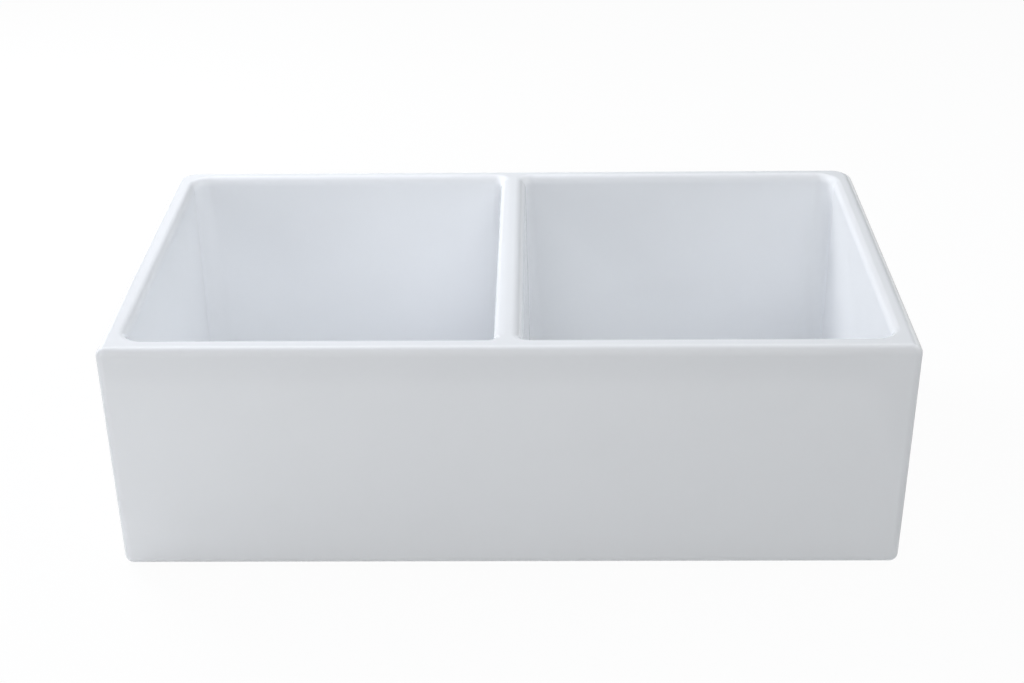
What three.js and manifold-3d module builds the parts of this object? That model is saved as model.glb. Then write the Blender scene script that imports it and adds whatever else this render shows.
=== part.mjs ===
// A double-bowl farmhouse sink with an apron front, in glazed fireclay, and the basket strainer
// waste that each bowl drains through. Millimetres, +Z up. The origin is the middle of the flat
// base, the apron faces -Y and the bowls stand side by side along X.

import * as THREE from "three";
import { mergeVertices } from "three/addons/utils/BufferGeometryUtils.js";
import Module from "manifold-3d";

const wasm = await Module();
wasm.setup();

// ---------------------------------------------------------------- driving dimensions

// Fireclay body, outside
const WIDTH = 838; // left to right at the rim
const DEPTH = 508; // apron to back at the rim
const HEIGHT = 257;
const SIDE_LEAN = 6.4; // how far each side stands in at the base
const BACK_LEAN = 4;
const FRONT_CORNER_R = 10; // upright corners, seen from above
const BACK_CORNER_R = 25;
const BASE_EDGE_R = 10;
const APRON_EDGE = 8; // how far in the rim's outer edge rounds over the apron
const SIDE_EDGE = 10; // and over the sides and the back
const EDGE_DROP = 6.5; // how far down it rounds

// Walls and bowls
const APRON_WALL = 27;
const SIDE_WALL = 25;
const BACK_WALL = 25;
const DIVIDER = 30;
const BOWL_ROLL = 9; // how far back the rim rolls into a bowl
const DIVIDER_FLAT = 4; // what stays level along the divider, whose top is nearly round
const ROLL_DROP = 9;
const BOWL_DRAFT = 4; // how far the bowl's walls come in at the floor
const BOWL_TOP_CORNER_R = 21; // upright corners against the outer walls
const BOWL_FOOT_CORNER_R = 28;
const DIVIDER_TOP_CORNER_R = 10; // and the tighter ones against the divider
const DIVIDER_FOOT_CORNER_R = 18;
const FLOOR_FILLET = 16;
const FLOOR = 20; // thickness under the foot of the walls
const FLOOR_FALL = 3; // from there down to the waste

// Waste outlet in each floor
const OUTLET_CLEARANCE = 2; // round the cup, which makes the outlet 90 mm
const OUTLET_CHAMFER = 3;
const REBATE_CLEARANCE = 2; // round the flange
const REBATE_DEPTH = 3;
const SUMP_MARGIN = 2; // lowest part of the floor, round the rebate

// Strainer body
const CUP_R = 43; // over the thread
const CUP_WALL = 1.6;
const CUP_KNUCKLE_R = 4; // bend from the cup's side to its sloping bottom
const CONE_HEIGHT = 8; // the sloping bottom, on which the stopper seals
const CONE_LEDGE = 3; // level step from the slope in to the neck
const THREAD_SPARE = 5; // thread left below the lock nut
const FLANGE_LAP = 12; // how far it covers the floor round the outlet
const FLANGE_THICKNESS = 1.4;
const FLANGE_DISH = 0.6; // its fall towards the cup
const FLANGE_BEND_R = 2.5;
const NECK_THREAD = 4.8; // how far the neck stands out round the tailpiece's tube
const NECK_WALL = 3.6;
const NECK_LENGTH = 24;
const SPOKES = 4;
const SPOKE_WIDTH = 3;
const SPOKE_DEPTH = 4;
const SPOKE_DROP = 2; // how far the cross lies below the slope
const HUB_WALL = 3.8;

// Rings and nut that clamp the strainer body to the fireclay
const BED_THICKNESS = 1;
const BED_INSET = 2.8; // how far it stops short of the flange's edge
const GASKET_THICKNESS = 3;
const GASKET_LAP = 7; // on the underside, past the outlet's chamfer
const FRICTION_THICKNESS = 1;
const FRICTION_INSET = 2; // how far it stops short of the gasket's edge
const LOCK_NUT_HEIGHT = 12;
const LOCK_NUT_WALL = 5;
const LOCK_NUT_COLLAR = 2.5; // height of the collar that bears on the friction ring
const LOCK_LUGS = 8;
const LOCK_LUG_DEPTH = 4;
const LOCK_LUG_FOOT = 0.3; // half a lug's share of the pitch where it leaves the nut
const LOCK_LUG_CREST = 0.22; // and at its crest

// Basket, and the post that carries it and the stopper
const BASKET_PLAY = 1; // between the basket's bead and the cup
const BASKET_SINK = 3; // bead below the top of the flange
const BASKET_SHEET = 0.9;
const BASKET_BEAD_R = 1.2;
const BASKET_TAPER = 8; // how much narrower the floor is than the bead
const BASKET_KNUCKLE_R = 4; // bend between floor and wall
const WALL_SPLAY = 10; // degrees that the wall stands out from upright
const HOLE_R = 2.2;
const HOLE_ROWS = 3;
const HOLE_PITCH = 12.5; // along a row
const SIDE_SLOTS = 14;
const SLOT_WIDTH = 2.8;
const SLOT_MARGIN = 7; // from a slot to the knuckle below and the bead above
const STEM_R = 3.2;
const STEM_CLEARANCE = 0.4;
const NECKING = 0.6; // how much thicker the post is above its shoulder
const SHOULDER_LAP = 2.9; // of the shoulder on the basket's floor
const SHOULDER_HEIGHT = 4;
const KNOB_R = 9.5;
const KNOB_HEIGHT = 7;
const KNOB_RISE = 3; // knob's crown above the flange
const KNOB_EDGE = 2.2;
const TIP_STEP = 0.9; // how much the clip end stands out round the stem
const TIP_CLEARANCE = 0.6; // in the hub
const TIP_REACH = 2; // how far it stands out below the hub
const STOPPER_SEAT = 4.6; // how far out on the slope the stopper's lip lies
const STOPPER_HEIGHT = 9;
const STOPPER_SKIRT = 2.4;
const STOPPER_LAP = 7.5; // of the stopper's crown round its bore
const STOPPER_CROWN = 4; // thickness there
const BACKING_LAP = 5.5;
const BACKING_THICKNESS = 1.2;

// Tailpiece and the coupling nut that holds it to the neck
const TAIL_R = 19; // 1-1/2 inch tube
const TAIL_WALL = 1.2;
const TAIL_LENGTH = 102;
const TAIL_FLANGE_THICKNESS = 1.5;
const TAIL_WASHER_THICKNESS = 2.5;
const COUPLING_WALL = 4.5; // at the flats
const COUPLING_GRIP = 13; // how much of the neck it covers
const COUPLING_LIP = 3;
const COUPLING_CHAMFER = 2;

// Clearance between pieces that seat on each other, and between nuts and threads
const FIT = 0.25;

// Fineness of the curves
const CORNER_STEPS = 7;
const EDGE_STEPS = 5;
const TURN_STEPS = 24; // round what the cup and the outlet go through
const FINE_STEPS = 16; // round the post and its fittings
const HOLE_STEPS = 6;
const PAST = 1; // how far a cutter runs past what it cuts
const LEAST_R = 1; // a rounded corner is never drawn in tighter than this

// ---------------------------------------------------------------- places worked out from them

const BOWL_X = (WIDTH / 2 - SIDE_WALL + DIVIDER / 2) / 2; // middle of a bowl
const BOWL_Y = (APRON_WALL - BACK_WALL) / 2;
const DIVIDER_ROLL = DIVIDER / 2 - DIVIDER_FLAT / 2;

const OUTLET_R = CUP_R + OUTLET_CLEARANCE;
const FLANGE_R = OUTLET_R + FLANGE_LAP;
const REBATE_R = FLANGE_R + REBATE_CLEARANCE;
const SEAT_Z = FLOOR - FLOOR_FALL - REBATE_DEPTH;
const BED_TOP = SEAT_Z + FIT + BED_THICKNESS;
const FLANGE_BOTTOM = BED_TOP + FIT;
const FLANGE_TOP = FLANGE_BOTTOM + FLANGE_THICKNESS;

const THREAD_BORE_R = CUP_R + FIT;
const GASKET_R = OUTLET_R + OUTLET_CHAMFER + GASKET_LAP;
const GASKET_TOP = -FIT;
const FRICTION_TOP = GASKET_TOP - GASKET_THICKNESS - FIT;
const LOCK_NUT_TOP = FRICTION_TOP - FRICTION_THICKNESS - FIT;

const NECK_R = TAIL_R + NECK_THREAD; // over the 1-1/2 inch pipe thread
const NECK_BORE_R = NECK_R - NECK_WALL;
const CUP_INNER_R = CUP_R - CUP_WALL;
const CONE_INNER_R = NECK_BORE_R + CONE_LEDGE;
const CONE_TOP = LOCK_NUT_TOP - LOCK_NUT_HEIGHT - THREAD_SPARE; // where it would meet the cup
const CONE_BOTTOM = CONE_TOP - CONE_HEIGHT;
const CONE_ANGLE = Math.atan2(CONE_HEIGHT, CUP_INNER_R - CONE_INNER_R);
const CONE_SLOPE = Math.tan(CONE_ANGLE);
const NECK_END = CONE_BOTTOM - NECK_LENGTH;

const TIP_R = STEM_R + TIP_STEP;
const HUB_HOLE_R = TIP_R + TIP_CLEARANCE;
const HUB_R = HUB_HOLE_R + HUB_WALL;
const HUB_TOP = CONE_BOTTOM - SPOKE_DROP;

const STEM_HOLE_R = STEM_R + STEM_CLEARANCE;
const STOPPER_R = CONE_INNER_R + STOPPER_SEAT;
const STOPPER_LIP_Z = CONE_BOTTOM + STOPPER_SEAT * CONE_SLOPE + FIT / Math.cos(CONE_ANGLE);
const STOPPER_TOP = STOPPER_LIP_Z + STOPPER_HEIGHT;
const BACKING_TOP = STOPPER_TOP - STOPPER_CROWN - FIT;
const TIP_TOP = BACKING_TOP - BACKING_THICKNESS - FIT;
const BASKET_BOTTOM = STOPPER_TOP + FIT;
const BASKET_RIM_R = CUP_INNER_R - BASKET_PLAY;
const BASKET_RIM_Z = FLANGE_TOP - BASKET_SINK;
const BASKET_FLOOR_R = BASKET_RIM_R - BASKET_TAPER; // to the start of the knuckle
const SHOULDER_R = STEM_HOLE_R + SHOULDER_LAP;
const SHOULDER_BOTTOM = BASKET_BOTTOM + BASKET_SHEET + FIT;

const TAIL_WASHER_TOP = NECK_END - FIT;
const TAIL_TOP = TAIL_WASHER_TOP - TAIL_WASHER_THICKNESS - FIT;
const TAIL_FLANGE_R = NECK_R - FIT;
const COUPLING_BORE_R = NECK_R + FIT;
const COUPLING_LIP_TOP = TAIL_TOP - TAIL_FLANGE_THICKNESS - FIT;

// ---------------------------------------------------------------- finishes

const finish = (name, color, roughness, metalness) =>
  new THREE.MeshStandardMaterial({ name, color, roughness, metalness });

const GLAZE = finish("glazed_fireclay", 0xf0f2f5, 0.12, 0);
const STEEL = finish("stainless_steel", 0xc9cbcc, 0.28, 1);
const CHROME = finish("chrome", 0xd4d6d8, 0.1, 1);
const ZINC = finish("cast_zinc", 0xa3a5a4, 0.45, 0.9);
const RUBBER = finish("black_rubber", 0x1d1d1f, 0.7, 0);
const SEALANT = finish("foam_seal", 0xd9d6cc, 0.85, 0);
const FIBRE = finish("friction_fibre", 0xb4885a, 0.9, 0);
const NYLON = finish("white_nylon", 0xe8e6df, 0.5, 0);

// ---------------------------------------------------------------- building blocks

// A closed geometry as a solid that can be joined and cut.
function solid(geometry) {
  const bare = geometry.clone();
  bare.deleteAttribute("normal");
  bare.deleteAttribute("uv");
  const merged = mergeVertices(bare, 1e-4);
  return new wasm.Manifold(
    new wasm.Mesh({
      numProp: 3,
      vertProperties: merged.attributes.position.array,
      triVerts: new Uint32Array(merged.index.array),
    }),
  );
}

// A joined or cut solid as a geometry with flat facets.
function geometryOf(shape) {
  const { vertProperties, triVerts } = shape.getMesh();
  const indexed = new THREE.BufferGeometry()
    .setAttribute("position", new THREE.BufferAttribute(vertProperties, 3))
    .setIndex(new THREE.BufferAttribute(triVerts, 1));
  const geometry = indexed.toNonIndexed();
  geometry.computeVertexNormals();
  return geometry;
}

// A rectangle with rounded corners at height z, as points counterclockwise from above. The radii
// are those of the front right, back right, back left and front left corners.
function ring({ left, right, front, back }, radii, z) {
  const corners = [
    [right, front, 1, -1],
    [right, back, 1, 1],
    [left, back, -1, 1],
    [left, front, -1, -1],
  ];
  return corners.flatMap(([x, y, alongX, alongY], k) =>
    Array.from({ length: CORNER_STEPS + 1 }, (_, i) => {
      const r = radii[k];
      const angle = ((k - 1 + i / CORNER_STEPS) * Math.PI) / 2;
      const centre = [x - alongX * r, y - alongY * r];
      return new THREE.Vector3(
        centre[0] + r * Math.cos(angle),
        centre[1] + r * Math.sin(angle),
        z,
      );
    }),
  );
}

// A closed skin over convex rings that are listed from the bottom up.
function loft(rings) {
  const count = rings[0].length;
  const faces = [];
  for (let k = 0; k + 1 < rings.length; k++)
    for (let i = 0; i < count; i++) {
      const low = [k * count + i, k * count + ((i + 1) % count)];
      const high = low.map((n) => n + count);
      faces.push(low[0], low[1], high[1], low[0], high[1], high[0]);
    }
  const top = (rings.length - 1) * count;
  for (let i = 1; i + 1 < count; i++)
    faces.push(0, i + 1, i, top, top + i, top + i + 1);
  return new THREE.BufferGeometry().setFromPoints(rings.flat()).setIndex(faces);
}

// A solid of revolution about +Z. The outline is [radius, height] pairs, counterclockwise with
// the axis on the left. An outline that doesn't start on the axis closes on itself.
function turned(outline, steps = TURN_STEPS) {
  const points = outline.map(([radius, z]) => new THREE.Vector2(radius, z));
  if (outline[0][0] > 0) points.push(points[0].clone());
  return new THREE.LatheGeometry(points, steps).rotateX(Math.PI / 2);
}

// A flat ring between two radii, from its top down by its thickness.
function washer(inner, outer, top, thickness, steps = TURN_STEPS) {
  const bottom = top - thickness;
  const section = [
    [inner, bottom],
    [outer, bottom],
    [outer, top],
    [inner, top],
  ];
  return turned(section, steps);
}

// Points of an arc in an outline, from one angle to another in degrees, both included.
function arc(centreR, centreZ, radius, from, to, steps) {
  return Array.from({ length: steps + 1 }, (_, i) => {
    const angle = THREE.MathUtils.degToRad(from + ((to - from) * i) / steps);
    return [centreR + radius * Math.cos(angle), centreZ + radius * Math.sin(angle)];
  });
}

// The angles of a quarter turn in equal steps, both ends included.
const quarterTurn = (steps) =>
  Array.from({ length: steps + 1 }, (_, i) => ((Math.PI / 2) * i) / steps);

// The angles of a number of places spaced evenly round a circle.
const around = (count) => Array.from({ length: count }, (_, i) => (2 * Math.PI * i) / count);

// A point at an angle and a distance from the axis.
const polar = (radius, angle) =>
  new THREE.Vector2(radius * Math.cos(angle), radius * Math.sin(angle));

// A plate of the given outline with an optional round hole, standing from z up to z + height.
function plate(points, height, z, holeR = 0) {
  const shape = new THREE.Shape(points);
  if (holeR > 0) shape.holes.push(new THREE.Path().absarc(0, 0, holeR, 0, 2 * Math.PI, true));
  const options = { depth: height, bevelEnabled: false, curveSegments: TURN_STEPS / 2 };
  return new THREE.ExtrudeGeometry(shape, options).translate(0, 0, z);
}

// ---------------------------------------------------------------- fireclay body

// The outside at height z, brought in by an inset on the front and on the other three sides. The
// sides and back lean in from the foot of the rim's rounding down.
function outerRing(z, frontInset, sideInset) {
  const lean = Math.max(1 - z / (HEIGHT - EDGE_DROP), 0);
  const sideways = WIDTH / 2 - SIDE_LEAN * lean - sideInset;
  const box = {
    left: -sideways,
    right: sideways,
    front: -DEPTH / 2 + frontInset,
    back: DEPTH / 2 - BACK_LEAN * lean - sideInset,
  };
  const frontR = Math.max(FRONT_CORNER_R - Math.max(frontInset, sideInset), LEAST_R);
  const backR = Math.max(BACK_CORNER_R - sideInset, LEAST_R);
  return ring(box, [frontR, backR, backR, frontR], z);
}

// The solid block with its rounded base edge and rim, before anything is hollowed out.
function sinkBlock() {
  const foot = quarterTurn(EDGE_STEPS).map((turn) => {
    const inset = BASE_EDGE_R * (1 - Math.sin(turn));
    return outerRing(BASE_EDGE_R * (1 - Math.cos(turn)), inset, inset);
  });
  const rim = quarterTurn(EDGE_STEPS).map((turn) => {
    const inward = 1 - Math.cos(turn);
    const z = HEIGHT - EDGE_DROP * (1 - Math.sin(turn));
    return outerRing(z, APRON_EDGE * inward, SIDE_EDGE * inward);
  });
  return solid(loft([...foot, ...rim]));
}

// A bowl's opening on one side, -1 for left or 1 for right, grown by an inset that is negative
// where the bowl widens. The divider's side moves by its own amount and has its own corners.
function bowlRing(side, z, inset, dividerInset, cornerR, dividerCornerR) {
  const outer = WIDTH / 2 - SIDE_WALL - inset;
  const inner = DIVIDER / 2 + dividerInset;
  const box = {
    left: side < 0 ? -outer : inner,
    right: side < 0 ? -inner : outer,
    front: -DEPTH / 2 + APRON_WALL + inset,
    back: DEPTH / 2 - BACK_WALL - inset,
  };
  const [rightR, leftR] = side < 0 ? [dividerCornerR, cornerR] : [cornerR, dividerCornerR];
  return ring(box, [rightR, rightR, leftR, leftR], z);
}

// A bowl's opening where the rim rolls back from it, by a share of the whole roll.
function rolledRing(side, z, share) {
  const corners = [BOWL_TOP_CORNER_R, DIVIDER_TOP_CORNER_R].map((r) => r + BOWL_ROLL * share);
  return bowlRing(side, z, -BOWL_ROLL * share, -DIVIDER_ROLL * share, ...corners);
}

// What is hollowed out of the block for one bowl: a floor that falls to the waste, a fillet,
// drafted walls whose corners open out towards the floor, and the rim's roll at the top.
function bowlHollow(side) {
  const x = side * BOWL_X;
  const reach = REBATE_R + SUMP_MARGIN;
  const sump = { left: x - reach, right: x + reach, front: BOWL_Y - reach, back: BOWL_Y + reach };
  const sumpCorners = Array(4).fill(REBATE_R);
  const rings = [ring(sump, sumpCorners, FLOOR - FLOOR_FALL)];
  for (const turn of quarterTurn(EDGE_STEPS)) {
    const filletInset = FLOOR_FILLET * (1 - Math.sin(turn));
    const inset = BOWL_DRAFT + filletInset;
    const z = FLOOR + FLOOR_FILLET * (1 - Math.cos(turn));
    const corners = [BOWL_FOOT_CORNER_R - filletInset, DIVIDER_FOOT_CORNER_R - filletInset];
    rings.push(bowlRing(side, z, inset, inset, ...corners));
  }
  for (const turn of quarterTurn(EDGE_STEPS)) {
    rings.push(rolledRing(side, HEIGHT - ROLL_DROP * (1 - Math.sin(turn)), 1 - Math.cos(turn)));
  }
  rings.push(rolledRing(side, HEIGHT + PAST, 1));
  return solid(loft(rings));
}

// The stepped hole for one waste: chamfered below, with a rebate above for the flange.
function outletHollow(side) {
  const cutter = turned([
    [0, -PAST],
    [OUTLET_R + OUTLET_CHAMFER + PAST, -PAST],
    [OUTLET_R, OUTLET_CHAMFER],
    [OUTLET_R, SEAT_Z],
    [REBATE_R, SEAT_Z],
    [REBATE_R, FLOOR],
    [0, FLOOR],
  ]);
  return solid(cutter.translate(side * BOWL_X, BOWL_Y, 0));
}

function sinkBody() {
  let body = sinkBlock();
  for (const side of [-1, 1])
    body = body.subtract(bowlHollow(side)).subtract(outletHollow(side));
  return geometryOf(body);
}

// ---------------------------------------------------------------- strainer waste, on its own axis

// Flange, threaded cup, sloping bottom and threaded neck, with a spoked cross and hub inside.
function strainerBody() {
  const slopeAt = (radius) => CONE_BOTTOM + (radius - CONE_INNER_R) * CONE_SLOPE;
  const underSlope = (radius) => slopeAt(radius) - CUP_WALL / Math.cos(CONE_ANGLE);
  const bendR = CUP_INNER_R + FLANGE_BEND_R;
  const bendZ = FLANGE_TOP - FLANGE_DISH - FLANGE_BEND_R;
  const bevel = FLANGE_THICKNESS / 3;
  const shell = turned([
    [NECK_BORE_R, NECK_END],
    [NECK_R, NECK_END],
    [NECK_R, underSlope(NECK_R)],
    [CUP_R, underSlope(CUP_R)],
    [CUP_R, FLANGE_BOTTOM],
    [FLANGE_R, FLANGE_BOTTOM],
    [FLANGE_R, FLANGE_TOP - bevel],
    [FLANGE_R - bevel, FLANGE_TOP],
    ...arc(bendR, bendZ, FLANGE_BEND_R, 90, 180, 3),
    [CUP_INNER_R, CONE_TOP + CUP_KNUCKLE_R / 2],
    [CUP_INNER_R - CUP_KNUCKLE_R, slopeAt(CUP_INNER_R - CUP_KNUCKLE_R)],
    [CONE_INNER_R, CONE_BOTTOM],
    [NECK_BORE_R, CONE_BOTTOM],
  ]);
  const hub = washer(HUB_HOLE_R, HUB_R, HUB_TOP, SPOKE_DEPTH, FINE_STEPS);
  let body = solid(shell).add(solid(hub));
  const from = (HUB_HOLE_R + HUB_R) / 2;
  const to = (NECK_BORE_R + NECK_R) / 2;
  const spoke = new THREE.BoxGeometry(to - from, SPOKE_WIDTH, SPOKE_DEPTH);
  spoke.translate((from + to) / 2, 0, HUB_TOP - SPOKE_DEPTH / 2);
  for (const angle of around(SPOKES)) body = body.add(solid(spoke.clone().rotateZ(angle)));
  return geometryOf(body);
}

const flangeSeal = () =>
  washer(OUTLET_R + FIT, FLANGE_R - BED_INSET, BED_TOP, BED_THICKNESS);

const rubberGasket = () => washer(THREAD_BORE_R, GASKET_R, GASKET_TOP, GASKET_THICKNESS);

const frictionRing = () =>
  washer(THREAD_BORE_R, GASKET_R - FRICTION_INSET, FRICTION_TOP, FRICTION_THICKNESS);

// A ring nut with lugs for a spanner below the collar that bears on the friction ring.
function lockNut() {
  const rootR = THREAD_BORE_R + LOCK_NUT_WALL;
  const crestR = rootR + LOCK_LUG_DEPTH;
  const pitch = (2 * Math.PI) / LOCK_LUGS;
  const outline = around(LOCK_LUGS).flatMap((angle) => [
    polar(rootR, angle - LOCK_LUG_FOOT * pitch),
    polar(crestR, angle - LOCK_LUG_CREST * pitch),
    polar(crestR, angle + LOCK_LUG_CREST * pitch),
    polar(rootR, angle + LOCK_LUG_FOOT * pitch),
  ]);
  const body = plate(outline, LOCK_NUT_HEIGHT - PAST, LOCK_NUT_TOP - LOCK_NUT_HEIGHT, THREAD_BORE_R);
  const collar = washer(THREAD_BORE_R, crestR, LOCK_NUT_TOP, LOCK_NUT_COLLAR);
  return geometryOf(solid(body).add(solid(collar)));
}

// A pressed sheet basket with a beaded rim, rows of holes in its floor and slots round its side.
function basket() {
  const floorTop = BASKET_BOTTOM + BASKET_SHEET;
  const knuckleZ = floorTop + BASKET_KNUCKLE_R;
  const outerBend = BASKET_KNUCKLE_R + BASKET_SHEET;
  const beadR = BASKET_RIM_R - BASKET_BEAD_R;
  let body = solid(
    turned([
      [STEM_HOLE_R, BASKET_BOTTOM],
      ...arc(BASKET_FLOOR_R, knuckleZ, outerBend, -90, -WALL_SPLAY, 2),
      ...arc(beadR, BASKET_RIM_Z, BASKET_BEAD_R, -45, 180, 4),
      ...arc(BASKET_FLOOR_R, knuckleZ, BASKET_KNUCKLE_R, -WALL_SPLAY, -90, 2),
      [STEM_HOLE_R, floorTop],
    ]),
  );
  const drill = new THREE.CylinderGeometry(HOLE_R, HOLE_R, BASKET_SHEET + 2 * PAST, HOLE_STEPS);
  drill.rotateX(Math.PI / 2).translate(0, 0, floorTop - BASKET_SHEET / 2);
  const rowSpacing = (BASKET_FLOOR_R - SHOULDER_R) / HOLE_ROWS;
  for (let row = 0; row < HOLE_ROWS; row++) {
    const radius = SHOULDER_R + rowSpacing * (row + 0.5);
    const count = Math.floor((2 * Math.PI * radius) / HOLE_PITCH);
    for (const angle of around(count))
      body = body.subtract(solid(drill.clone().translate(radius, 0, 0).rotateZ(angle)));
  }
  const slotBottom = knuckleZ + SLOT_MARGIN;
  const slotTop = BASKET_RIM_Z - SLOT_MARGIN;
  const slot = new THREE.BoxGeometry(BASKET_RIM_R, SLOT_WIDTH, slotTop - slotBottom);
  slot.translate(SHOULDER_R + BASKET_RIM_R / 2, 0, (slotBottom + slotTop) / 2);
  for (const angle of around(SIDE_SLOTS))
    body = body.subtract(solid(slot.clone().rotateZ(angle)));
  return geometryOf(body);
}

// Knob, shoulder on the basket's floor, stem through the stopper and the clip end below it.
function basketPost() {
  const knobTop = FLANGE_TOP + KNOB_RISE;
  const knobBottom = knobTop - KNOB_HEIGHT;
  const shoulderTop = SHOULDER_BOTTOM + SHOULDER_HEIGHT;
  const shaftR = STEM_R + NECKING;
  const tipEnd = HUB_TOP - SPOKE_DEPTH - TIP_REACH;
  const outline = [
    [0, tipEnd],
    [STEM_R, tipEnd],
    [TIP_R, tipEnd + TIP_STEP],
    [TIP_R, TIP_TOP],
    [STEM_R, TIP_TOP],
    [STEM_R, SHOULDER_BOTTOM],
    [SHOULDER_R, SHOULDER_BOTTOM],
    [SHOULDER_R, shoulderTop - NECKING],
    [SHOULDER_R - NECKING, shoulderTop],
    [shaftR, shoulderTop + NECKING],
    [shaftR, knobBottom - KNOB_EDGE],
    [KNOB_R - KNOB_EDGE, knobBottom],
    [KNOB_R, knobBottom + KNOB_EDGE],
    ...arc(KNOB_R - KNOB_EDGE, knobTop - KNOB_EDGE, KNOB_EDGE, 0, 80, 2),
    [0, knobTop],
  ];
  return turned(outline, FINE_STEPS);
}

// A rubber bell whose lip lies on the cup's sloping bottom.
function stopper() {
  const crownR = STEM_HOLE_R + STOPPER_LAP;
  const crownBottom = STOPPER_TOP - STOPPER_CROWN;
  const lipInnerR = STOPPER_R - STOPPER_SKIRT;
  const shoulderR = (crownR + STOPPER_R) / 2;
  const shoulderZ = STOPPER_TOP - STOPPER_HEIGHT / 4;
  return turned([
    [STEM_HOLE_R, crownBottom],
    [crownR, crownBottom],
    [lipInnerR - STOPPER_SKIRT, STOPPER_LIP_Z + STOPPER_SKIRT],
    [lipInnerR, STOPPER_LIP_Z - STOPPER_SKIRT * CONE_SLOPE],
    [STOPPER_R, STOPPER_LIP_Z],
    [STOPPER_R, STOPPER_LIP_Z + STOPPER_SKIRT],
    [shoulderR, shoulderZ],
    [crownR, STOPPER_TOP],
    [STEM_HOLE_R, STOPPER_TOP],
  ]);
}

const stopperWasher = () =>
  washer(STEM_HOLE_R, STEM_HOLE_R + BACKING_LAP, BACKING_TOP, BACKING_THICKNESS, FINE_STEPS);

const tailpieceWasher = () =>
  washer(TAIL_R - TAIL_WALL, TAIL_FLANGE_R, TAIL_WASHER_TOP, TAIL_WASHER_THICKNESS);

// A thin tube with a flange at its top, over which the coupling nut is slipped.
function tailpiece() {
  const bore = TAIL_R - TAIL_WALL;
  const flangeBottom = TAIL_TOP - TAIL_FLANGE_THICKNESS;
  return turned([
    [bore, TAIL_TOP - TAIL_LENGTH],
    [TAIL_R, TAIL_TOP - TAIL_LENGTH],
    [TAIL_R, flangeBottom],
    [TAIL_FLANGE_R, flangeBottom],
    [TAIL_FLANGE_R, TAIL_TOP],
    [bore + TAIL_WALL, TAIL_TOP],
    [bore, TAIL_TOP - TAIL_WALL],
  ]);
}

// A hexagonal nut, open at the top for the neck, with a lip under the tailpiece's flange.
function couplingNut() {
  const top = NECK_END + COUPLING_GRIP;
  const bottom = COUPLING_LIP_TOP - COUPLING_LIP;
  const flatR = COUPLING_BORE_R + COUPLING_WALL;
  const cornerR = flatR / Math.cos(Math.PI / 6);
  const hexagon = around(6).map((angle) => polar(cornerR, angle));
  const rounding = turned([
    [0, bottom],
    [flatR, bottom],
    [cornerR + PAST, bottom + COUPLING_CHAMFER],
    [cornerR + PAST, top - COUPLING_CHAMFER],
    [flatR, top],
    [0, top],
  ]);
  const bore = turned([
    [0, bottom - PAST],
    [TAIL_R + FIT, bottom - PAST],
    [TAIL_R + FIT, COUPLING_LIP_TOP],
    [COUPLING_BORE_R, COUPLING_LIP_TOP],
    [COUPLING_BORE_R, top + PAST],
    [0, top + PAST],
  ]);
  const blank = solid(plate(hexagon, top - bottom, bottom));
  return geometryOf(blank.intersect(solid(rounding)).subtract(solid(bore)));
}

// ---------------------------------------------------------------- assembly

// Everything that hangs in one outlet. The basket, its post, the stopper and its washer lift out
// together.
const WASTE_PIECES = [
  ["strainer_body", strainerBody(), STEEL],
  ["flange_seal", flangeSeal(), SEALANT],
  ["rubber_gasket", rubberGasket(), RUBBER],
  ["friction_ring", frictionRing(), FIBRE],
  ["lock_nut", lockNut(), ZINC],
  ["basket", basket(), STEEL],
  ["basket_post", basketPost(), CHROME],
  ["stopper", stopper(), RUBBER],
  ["stopper_washer", stopperWasher(), STEEL],
  ["tailpiece_washer", tailpieceWasher(), NYLON],
  ["tailpiece", tailpiece(), CHROME],
  ["coupling_nut", couplingNut(), CHROME],
];

function mesh(name, geometry, material) {
  const made = new THREE.Mesh(geometry, material);
  made.name = name;
  return made;
}

function waste(sideName, side) {
  const group = new THREE.Group();
  group.position.set(side * BOWL_X, BOWL_Y, 0);
  for (const [name, geometry, material] of WASTE_PIECES)
    group.add(mesh(`${sideName}_${name}`, geometry, material));
  return group;
}

const sink = new THREE.Group();
sink.add(mesh("sink_body", sinkBody(), GLAZE), waste("left", -1), waste("right", 1));

export default sink;
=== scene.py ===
import math

import bmesh
import bpy
import numpy as np
from mathutils import Matrix, Vector


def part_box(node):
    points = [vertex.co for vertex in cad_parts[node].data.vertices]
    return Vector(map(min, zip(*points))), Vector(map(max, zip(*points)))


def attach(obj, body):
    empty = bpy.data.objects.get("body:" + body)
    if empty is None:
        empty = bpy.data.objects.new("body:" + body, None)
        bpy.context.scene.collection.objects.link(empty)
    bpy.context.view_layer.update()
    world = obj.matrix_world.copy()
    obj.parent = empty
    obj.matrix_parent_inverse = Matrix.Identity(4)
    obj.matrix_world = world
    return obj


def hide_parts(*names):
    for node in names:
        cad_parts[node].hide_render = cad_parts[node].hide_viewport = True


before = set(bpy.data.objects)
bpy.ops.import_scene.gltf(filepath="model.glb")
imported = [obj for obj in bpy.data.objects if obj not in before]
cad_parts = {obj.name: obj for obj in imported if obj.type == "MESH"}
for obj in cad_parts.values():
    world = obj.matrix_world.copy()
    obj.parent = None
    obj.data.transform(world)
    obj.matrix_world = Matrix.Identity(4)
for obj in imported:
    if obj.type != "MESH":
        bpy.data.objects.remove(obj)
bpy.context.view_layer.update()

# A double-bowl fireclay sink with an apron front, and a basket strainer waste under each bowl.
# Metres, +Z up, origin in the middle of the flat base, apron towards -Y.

MM = 0.001
TINY = 1e-6  # metres, closer together than any two points that differ

# ---------------------------------------------------------------- sizes of the sink, in metres

sink_low, sink_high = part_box("sink_body")
WIDTH = sink_high.x - sink_low.x
DEPTH = sink_high.y - sink_low.y
HEIGHT = sink_high.z
SIDE_LEAN = 6.4 * MM
BACK_LEAN = 4 * MM
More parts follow.
